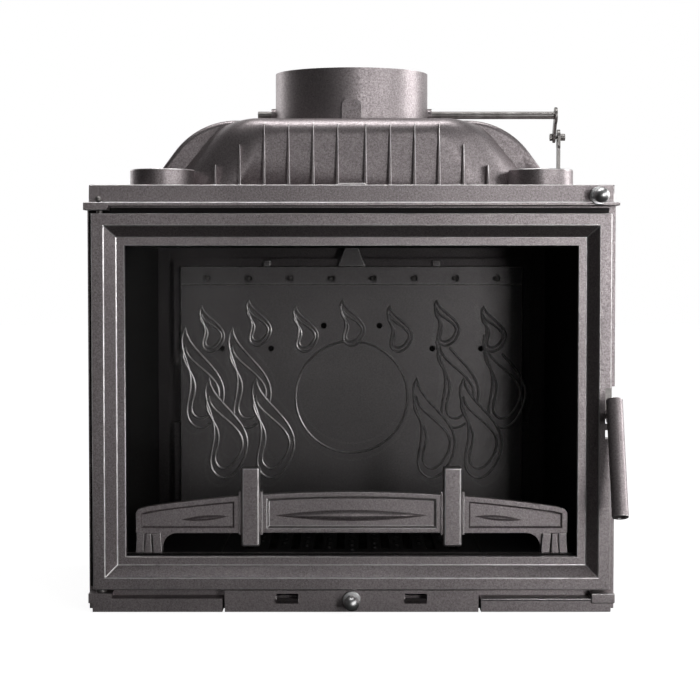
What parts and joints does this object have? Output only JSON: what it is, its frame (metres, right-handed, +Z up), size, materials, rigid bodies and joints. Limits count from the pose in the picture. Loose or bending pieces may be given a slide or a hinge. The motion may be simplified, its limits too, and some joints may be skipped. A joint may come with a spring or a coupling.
{
  "type": "fireplace insert",
  "caption": "Cast-iron fireplace insert with a framed glass door, flue collar with damper, pull-rod controls, ribbed smoke dome, fireback, log guard, grate and ash pan.",
  "frame": {"origin": "middle of the base's underside, straight below the flue's axis", "axes": "+Z up along the flue, +X to the right as the user faces the door, -Y out of the door"},
  "size_m": [0.6971, 0.5132, 0.7225],
  "materials": {
    "grey_iron": "graphite heat-resistant paint with a fine metallic grain",
    "hearth_iron": "dark matt heat-resistant paint",
    "smooth_iron": "smooth black heat-resistant paint with a soft sheen",
    "plain_steel": "plain steel, slightly darkened",
    "bright_chrome": "polished",
    "clear_glass": "clear ceramic glass",
    "woven_rope": "woven glass-fibre rope and tape"
  },
  "bodies": {
    "insert_body": {"base_casting": "hearth_iron", "front_frame": "grey_iron", "left_side_wall": "grey_iron", "right_side_wall": "grey_iron", "back_wall": "grey_iron", "top_plate": "grey_iron", "smoke_dome": "grey_iron", "flue_collar": "grey_iron", "left_port_cap": "grey_iron", "right_port_cap": "grey_iron", "left_apron": "grey_iron", "right_apron": "grey_iron", "centre_panel": "grey_iron", "left_hearth_plate": "hearth_iron", "right_hearth_plate": "hearth_iron", "ash_grate": "hearth_iron", "ash_pan": "plain_steel", "left_liner": "hearth_iron", "right_liner": "hearth_iron", "fireback": "smooth_iron", "fireback_hook": "smooth_iron", "fireback_clips": "smooth_iron", "baffle": "hearth_iron", "log_guard": "grey_iron", "upper_hinge_pin": "plain_steel", "lower_hinge_pin": "plain_steel", "latch_keeper": "plain_steel", "keeper_screws": "plain_steel", "damper_rod_guide": "plain_steel"},
    "door": {"door_frame": "grey_iron", "door_glass": "clear_glass", "glass_gasket": "woven_rope", "glass_clips": "plain_steel", "clip_screws": "plain_steel", "door_rope_seal": "woven_rope", "latch_pivot_pin": "plain_steel"},
    "latch_handle": {"latch_lever": "grey_iron", "handle_grip": "grey_iron"},
    "flue_damper": {"damper_disc": "hearth_iron", "damper_shaft": "plain_steel", "damper_crank": "plain_steel", "crank_pin": "plain_steel", "crank_nut": "plain_steel"},
    "damper_pull": {"damper_rod": "plain_steel", "damper_link": "plain_steel", "damper_knob": "bright_chrome", "damper_knob_flange": "bright_chrome"},
    "air_control": {"air_rod": "plain_steel", "air_gate": "plain_steel", "air_knob": "bright_chrome", "air_knob_flange": "bright_chrome"}
  },
  "joints": [
    {"name": "door_swing", "type": "hinge", "parent": "insert_body", "child": "door", "pos_m": [-0.3291, -0.205, 0.276], "axis": [0, 0, -1], "range_deg": [0, 110]},
    {"name": "handle_lift", "type": "hinge", "parent": "door", "child": "latch_handle", "pos_m": [0.3375, -0.207, 0.258], "axis": [-1, 0, 0], "range_deg": [0, 35]},
    {"name": "damper_turn", "type": "hinge", "parent": "insert_body", "child": "flue_damper", "pos_m": [0, 0, 0.666], "axis": [-1, 0, 0], "range_deg": [0, 80]},
    {"name": "damper_rod_slide", "type": "slide", "parent": "insert_body", "child": "damper_pull", "axis": [0, -1, 0], "range_m": [0, 0.0489]},
    {"name": "air_rod_slide", "type": "slide", "parent": "insert_body", "child": "air_control", "axis": [0, -1, 0], "range_m": [0, 0.041]}
  ],
  "couplings": [
    {"joint": "damper_rod_slide", "follows": "damper_turn", "m_per_rad": 0.035}
  ]
}
